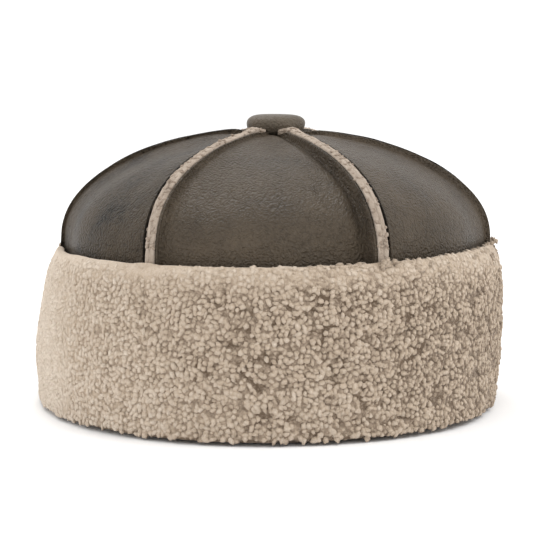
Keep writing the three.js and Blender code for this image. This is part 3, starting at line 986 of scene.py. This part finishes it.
cuff_bed = bed_of([cuff], on_cuff)
chance = np.random.default_rng(1)
clumps = spread_out(cuff_bed, CLUMPS_AT_MOST, CLUMP_SIZE, chance, comb_left)
for turn, name in enumerate(("cuff_clumps_a", "cuff_clumps_b")):
    part = tuple(column[turn::2] for column in clumps)
    calm, edge = calmness(part[0]), group_cracks(part[0])[1]
    # Painted light and shade for each clump: paler() and calm wool make it paler, and the cracks between
    # groups put painted shade on it.
    shade_shift = paler(part[0]) + 0.14 * calm - 0.17 * (1.0 - edge)
    sunk = (1.0 - edge) * 0.0006
    soft_clumps(name, part, CLUMP_SIZE, 2 + turn, calm, sunk, shade_shift, 0.14, cuff_wool_finish, "cuff_wool")
grow_fibres("cuff_fibres", cuff_bed, CUFF_FIBRES, CUFF_FIBRE_LENGTH, 3, comb_left)


def on_strips(centre, normal):
    """The pale strips between the leather edges, above the cuff and hardly at the left and right ends."""
    away = np.linalg.norm(centre - np.array([CAP_AXIS.x, 0.0, 0.0]), axis=1)
    facing = np.einsum("ij,ij->i", normal, outward(centre))
    from_axis = np.hypot(centre[:, 0] - CAP_AXIS.x, centre[:, 1])
    at_side = smoothstep(np.abs(centre[:, 0] - CAP_AXIS.x) / from_axis, 0.8, 0.95)
    return (facing > 0.2) * (centre[:, 2] > 0.0845) * (away > 0.1) * (1.0 - 0.97 * at_side)


def on_inside(centre, normal):
    """The wool that lines the crown."""
    facing = np.einsum("ij,ij->i", normal, outward(centre))
    return (facing < -0.4) * (height_over_crown(centre)[1] < -0.004)


strip_bed = bed_of(wool_gores, on_strips)
seam_roots = spread_out(strip_bed, SEAM_CLUMPS_AT_MOST, SEAM_CLUMP_SPACING, chance)
flat = np.full(len(seam_roots[0]), 0.1)
soft_clumps(
    "seam_clumps", seam_roots, SEAM_CLUMP_SIZE, 4, flat, flat * 0.0, flat * 0.2, 0.38,
    crown_wool_finish, "crown_wool")
grow_fibres("seam_fibres", strip_bed, SEAM_FIBRES, SEAM_FIBRE_LENGTH, 5, slot="crown_wool")


def tips_at_button(chance):
    """Roots of the tufts in which the two front seams end, against the lower edge of the button."""
    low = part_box("button")[0]
    roots, normals = [], []
    for begin, end, count in ((-36.0, -20.0, 60), (27.0, 8.0, 70)):
        share = chance.uniform(0.0, 1.0, count)
        turn = np.radians(begin + (end - begin) * share)
        thick = 0.0013 - 0.0005 * share
        out = 0.0153 + chance.uniform(-1.0, 1.0, count) * thick * 0.7
        rise = low.z + 0.0012 - 0.0007 * share + chance.uniform(-1.0, 1.0, count) * thick
        roots.append(np.stack([CAP_AXIS.x + out * np.sin(turn), -out * np.cos(turn), rise], axis=1))
        normals.append(np.stack([np.sin(turn) * 0.8, -np.cos(turn) * 0.8, np.full(count, 0.6)], axis=1))
    root, normal = np.concatenate(roots), np.concatenate(normals)
    aside = np.cross(normal, chance.normal(size=root.shape))
    return root, normal, aside / np.linalg.norm(aside, axis=1, keepdims=True)


tips = tips_at_button(chance)
flat = np.full(len(tips[0]), 0.1)
soft_clumps(
    "seam_tips", tips, SEAM_TIP_SIZE, 7, flat, flat * 0.0, flat, 0.38, crown_wool_finish, "crown_wool")
inside_bed = bed_of(wool_gores, on_inside)
inside_roots = spread_out(inside_bed, CURLS_AT_MOST, CURL_LENGTH, chance)
grow_curls("inside_curls", inside_roots, CURL_LENGTH, CURL_THICKNESS, 6, crown_wool_finish, "crown_wool")


# Floor, light and camera

def pale_floor():
    bpy.ops.object.select_all(action="DESELECT")
    bpy.ops.mesh.primitive_plane_add(size=30.0, location=(0.0, 0.0, -0.0002))
    floor = bpy.context.object
    floor.name = "studio_floor"
    finish, nodes, links, shader = new_material("Pale floor")
    tree = finish.node_tree
    place = nodes.new("ShaderNodeTexCoord").outputs["Object"]
    cloud = add_noise(tree, place, 3.0)
    colour = add_ramp(tree, cloud, [(0.3, (0.92, 0.92, 0.92)), (0.7, (0.94, 0.94, 0.94))])
    links.new(colour, shader.inputs["Base Color"])
    shader.inputs["Roughness"].default_value = 0.9
    shader.inputs["Specular IOR Level"].default_value = 0.1
    floor.data.materials.append(finish)


def soft_light(name, place, target, size, power):
    bpy.ops.object.light_add(type="AREA", location=place)
    lamp = bpy.context.object
    lamp.name = name
    lamp.data.shape = "RECTANGLE"
    lamp.data.size, lamp.data.size_y = size
    lamp.data.energy = power
    direction = Vector(target) - Vector(place)
    lamp.rotation_euler = direction.to_track_quat("-Z", "Y").to_euler()


pale_floor()
soft_light("key_light", (-1.6, -0.45, 0.7), (0.0, 0.0, 0.04), (0.9, 0.7), 5.0)
soft_light("side_light", (1.25, -0.35, 1.5), (0.0, 0.0, 0.1), (0.9, 0.9), 13.0)
soft_light("back_light", (-0.5, 1.2, 1.7), (0.0, 0.0, 0.1), (1.0, 0.6), 12.0)

world = bpy.data.worlds.new("Studio")
bpy.context.scene.world = world
world.use_nodes = True
backdrop = world.node_tree.nodes["Background"]
backdrop.inputs["Color"].default_value = (1.0, 1.0, 1.0, 1.0)
backdrop.inputs["Strength"].default_value = 1.12
bpy.context.scene.view_settings.view_transform = "Standard"

bpy.ops.object.camera_add(location=(-0.0006, -0.893, 0.182), rotation=(math.radians(82.61), 0.0, 0.0))
camera = bpy.context.object
camera.name = "photo_camera"
camera.data.sensor_width = 36.0
camera.data.lens = 119.9
bpy.context.scene.camera = camera
